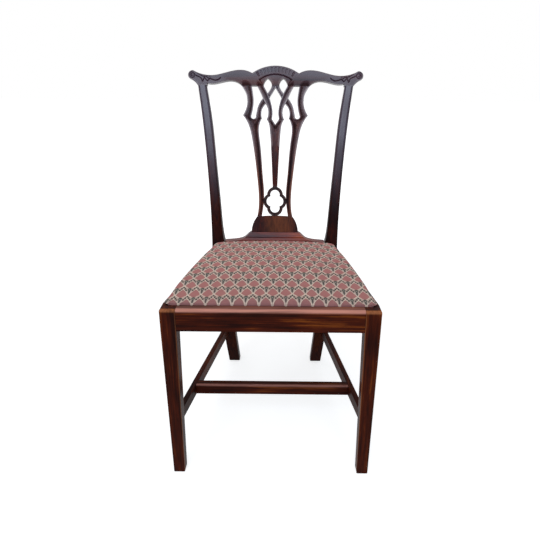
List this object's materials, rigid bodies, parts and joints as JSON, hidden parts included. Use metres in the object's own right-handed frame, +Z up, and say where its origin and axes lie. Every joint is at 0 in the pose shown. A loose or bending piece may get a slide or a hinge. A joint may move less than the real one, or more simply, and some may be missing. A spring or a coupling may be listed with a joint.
{
  "type": "side chair",
  "caption": "Wooden dining side chair with a pierced interlaced splat, serpentine crest rail, square tapered legs, stretchers and a lift-out upholstered seat.",
  "frame": {"origin": "on the floor under the middle of the chair's bounding box", "axes": "+X to the viewer's right, the chair faces -Y, +Z up"},
  "size_m": [0.505, 0.5266, 0.9659],
  "materials": {
    "mahogany": "old waxed and French-polished, worn at the edges",
    "beech": "bare, aged",
    "screw_steel": "dull",
    "tack_steel": "blued",
    "webbing": "woven jute",
    "hessian": "open jute weave",
    "stuffing": "felted hair",
    "tapestry": "woven scale pattern"
  },
  "bodies": {
    "chair_frame": {"front_leg_left": "mahogany", "front_leg_right": "mahogany", "rear_leg_left": "mahogany", "rear_leg_right": "mahogany", "front_rail": "mahogany", "rear_rail": "mahogany", "side_rail_left": "mahogany", "side_rail_right": "mahogany", "crest_rail": "mahogany", "splat": "mahogany", "splat_shoe": "mahogany", "side_stretcher_left": "mahogany", "side_stretcher_right": "mahogany", "cross_stretcher": "mahogany", "corner_block_front_left": "beech", "corner_block_front_right": "beech", "corner_block_rear_left": "beech", "corner_block_rear_right": "beech", "corner_block_screws": "screw_steel"},
    "drop_in_seat": {"seat_frame_front": "beech", "seat_frame_back": "beech", "seat_frame_left": "beech", "seat_frame_right": "beech", "webbing_lengthwise_left": "webbing", "webbing_lengthwise_middle": "webbing", "webbing_lengthwise_right": "webbing", "webbing_crosswise_front": "webbing", "webbing_crosswise_middle": "webbing", "webbing_crosswise_back": "webbing", "webbing_tacks": "tack_steel", "hessian": "hessian", "seat_pad": "stuffing", "seat_cover": "tapestry", "cover_tacks": "tack_steel"}
  },
  "joints": [
    {"name": "seat_lift", "type": "slide", "parent": "chair_frame", "child": "drop_in_seat", "axis": [0, 0, 1], "range_m": [0, 0.15]}
  ]
}
